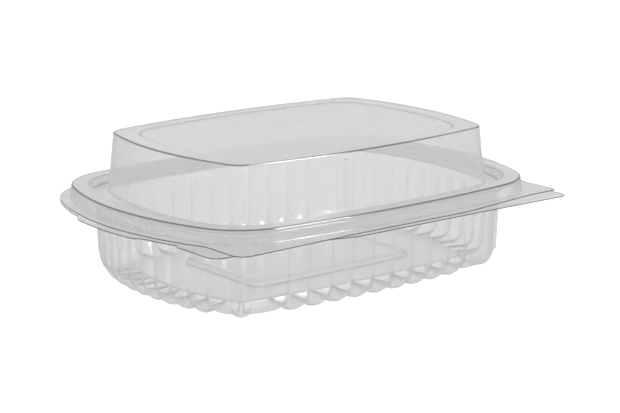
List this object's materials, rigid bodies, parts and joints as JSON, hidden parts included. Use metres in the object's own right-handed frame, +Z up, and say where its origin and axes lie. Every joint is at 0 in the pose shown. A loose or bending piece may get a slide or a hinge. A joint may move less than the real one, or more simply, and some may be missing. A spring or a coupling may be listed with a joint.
{
  "type": "takeaway meal container",
  "caption": "Clear thermoformed takeaway meal container, empty and shut, with fluted tub, finger foot, snap bead and a high hinged lid.",
  "frame": {"origin": "on the surface it stands on, under the middle of the overall box", "axes": "+Z up, X along the long sides, -Y towards the opening tabs, +Y towards the hinge"},
  "size_m": [0.194, 0.144, 0.0594],
  "materials": {
    "tub_sheet": "clear, glossy thermoformed sheet",
    "lid_sheet": "clear, glossy thermoformed sheet"
  },
  "bodies": {
    "tub": {"tub": "tub_sheet"},
    "lid": {"lid": "lid_sheet"}
  },
  "joints": [
    {"name": "lid_hinge", "type": "hinge", "parent": "tub", "child": "lid", "pos_m": [0, 0.0715, 0.0321], "axis": [-1, 0, 0], "range_deg": [0, 180]}
  ]
}
